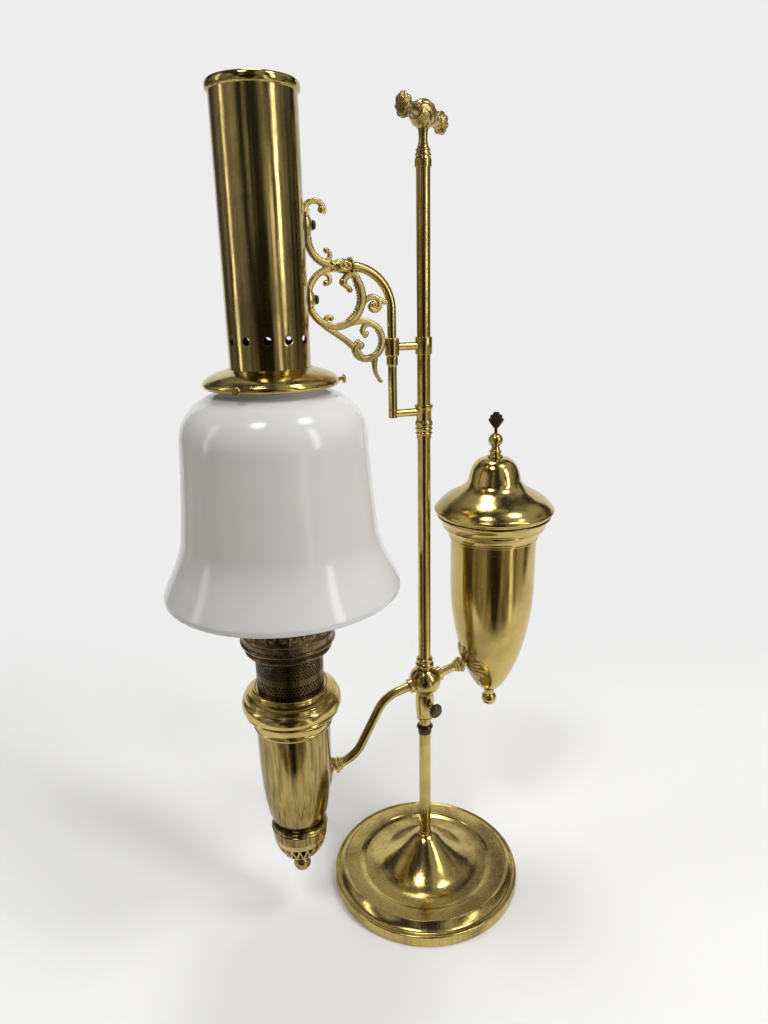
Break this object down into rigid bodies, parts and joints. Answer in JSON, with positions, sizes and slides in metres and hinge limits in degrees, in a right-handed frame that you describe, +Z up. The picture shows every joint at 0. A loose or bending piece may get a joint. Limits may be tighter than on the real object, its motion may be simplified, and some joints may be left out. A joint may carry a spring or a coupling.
{
  "type": "student lamp",
  "caption": "Brass oil reading lamp: weighted foot and rod, sliding hub with round-wick burner and lift-out fount, and a scrolled bracket with chimney stack and opal glass shade.",
  "frame": {"origin": "middle of the foot, on the surface the lamp stands on, on the rod's axis", "axes": "+Z up along the rod, burner towards -X, fount towards +X"},
  "size_m": [0.2939, 0.1624, 0.6],
  "materials": {
    "brass": "polished brass with light tarnish",
    "cast_brass": "cast brass, polished on top and dark in the hollows",
    "aged_brass": "tarnished brass",
    "dark_metal": "dark browned metal",
    "iron": "raw cast iron",
    "opal_glass": "white opal glass, glossy",
    "clear_glass": "clear glass",
    "felt": "green felt",
    "cotton": "woven cotton wick"
  },
  "bodies": {
    "stand": {"base_shell": "brass", "base_weight": "iron", "base_felt": "felt", "base_nut": "brass", "rod": "brass", "stop_collar": "aged_brass", "rod_ferrule": "brass", "top_finial": "cast_brass"},
    "hub_sleeve": {"hub_bush": "brass", "hub_lip": "brass"},
    "hub": {"hub_body": "brass", "burner_arm": "brass", "fount_arm": "brass", "burner_arm_ferrule": "brass", "fount_arm_ferrule": "brass", "burner_rosette": "cast_brass", "fount_rosette": "cast_brass", "burner_body": "brass", "burner_floor": "aged_brass", "burner_collar": "brass", "burner_deck": "aged_brass", "draught_tube": "aged_brass", "wick_tube": "aged_brass", "fount_shell": "brass", "fount_cornice": "brass", "fount_drop": "brass", "valve_post": "aged_brass"},
    "clamp": {"hub_screw": "dark_metal"},
    "gallery_group": {"air_basket": "aged_brass", "gallery": "aged_brass", "chimney_springs": "aged_brass", "chimney": "clear_glass"},
    "wick_group": {"wick": "cotton", "wick_carrier": "aged_brass"},
    "drip_group": {"drip_cup": "brass", "drip_grille": "aged_brass", "drip_ball": "brass"},
    "tank_group": {"fount_tank": "aged_brass", "tank_mouth": "aged_brass", "fount_lid": "brass", "lid_knob": "brass", "lid_leaf": "dark_metal"},
    "valve_group": {"valve": "aged_brass"},
    "bracket_rest": {"rest_collar": "brass"},
    "bracket": {"bracket_upper": "brass", "bracket_lower": "brass", "socket_tube": "brass"},
    "shade_arm": {"arm_tube": "brass", "scroll_ornament": "cast_brass", "stack_screws": "dark_metal", "stack": "brass", "canopy": "brass", "shade": "opal_glass"},
    "screw_1": {"shade_screw_1": "brass"},
    "screw_2": {"shade_screw_2": "brass"},
    "screw_3": {"shade_screw_3": "brass"}
  },
  "joints": [
    {"name": "hub_slide", "type": "slide", "parent": "stand", "child": "hub_sleeve", "axis": [0, 0, 1], "range_m": [-0.0045, 0.06]},
    {"name": "hub_turn", "type": "hinge", "parent": "hub_sleeve", "child": "hub", "pos_m": [0, 0, 0.1875], "axis": [0, 0, 1], "continuous": true},
    {"name": "hub_screw_turn", "type": "hinge", "parent": "hub", "child": "clamp", "pos_m": [0, 0, 0.16554], "axis": [0.2588, -0.9659, 0], "range_deg": [-180, 180]},
    {"name": "gallery_turn", "type": "hinge", "parent": "hub", "child": "gallery_group", "pos_m": [-0.108, 0, 0.249], "axis": [0, 0, 1], "range_deg": [-120, 120]},
    {"name": "wick_lift", "type": "slide", "parent": "hub", "child": "wick_group", "axis": [0, 0, 1], "range_m": [-0.008, 0.008]},
    {"name": "drip_cup_turn", "type": "hinge", "parent": "hub", "child": "drip_group", "pos_m": [-0.108, 0, 0.085], "axis": [0, 0, 1], "range_deg": [0, 60]},
    {"name": "tank_lift", "type": "slide", "parent": "hub", "child": "tank_group", "axis": [0, 0, 1], "range_m": [0, 0.15]},
    {"name": "valve_lift", "type": "slide", "parent": "tank_group", "child": "valve_group", "axis": [0, 0, 1], "range_m": [0, 0.004]},
    {"name": "bracket_slide", "type": "slide", "parent": "stand", "child": "bracket_rest", "axis": [0, 0, 1], "range_m": [-0.03, 0.07]},
    {"name": "bracket_turn", "type": "hinge", "parent": "bracket_rest", "child": "bracket", "pos_m": [0, 0, 0.4], "axis": [0, 0, 1], "continuous": true},
    {"name": "arm_swing", "type": "hinge", "parent": "bracket", "child": "shade_arm", "pos_m": [-0.0236, 0, 0.43], "axis": [0, 0, 1], "range_deg": [-4, 4]},
    {"name": "shade_screw_1_turn", "type": "hinge", "parent": "shade_arm", "child": "screw_1", "pos_m": [-0.108, 0, 0.429], "axis": [-0.6293, -0.7771, 0], "range_deg": [-180, 180]},
    {"name": "shade_screw_2_turn", "type": "hinge", "parent": "shade_arm", "child": "screw_2", "pos_m": [-0.108, 0, 0.429], "axis": [0.9877, -0.1564, 0], "range_deg": [-180, 180]},
    {"name": "shade_screw_3_turn", "type": "hinge", "parent": "shade_arm", "child": "screw_3", "pos_m": [-0.108, 0, 0.429], "axis": [-0.3584, 0.9336, 0], "range_deg": [-180, 180]}
  ],
  "couplings": [
    {"joint": "wick_lift", "follows": "gallery_turn", "m_per_rad": 0.0038},
    {"joint": "bracket_turn", "follows": "hub_turn", "ratio": 1}
  ]
}
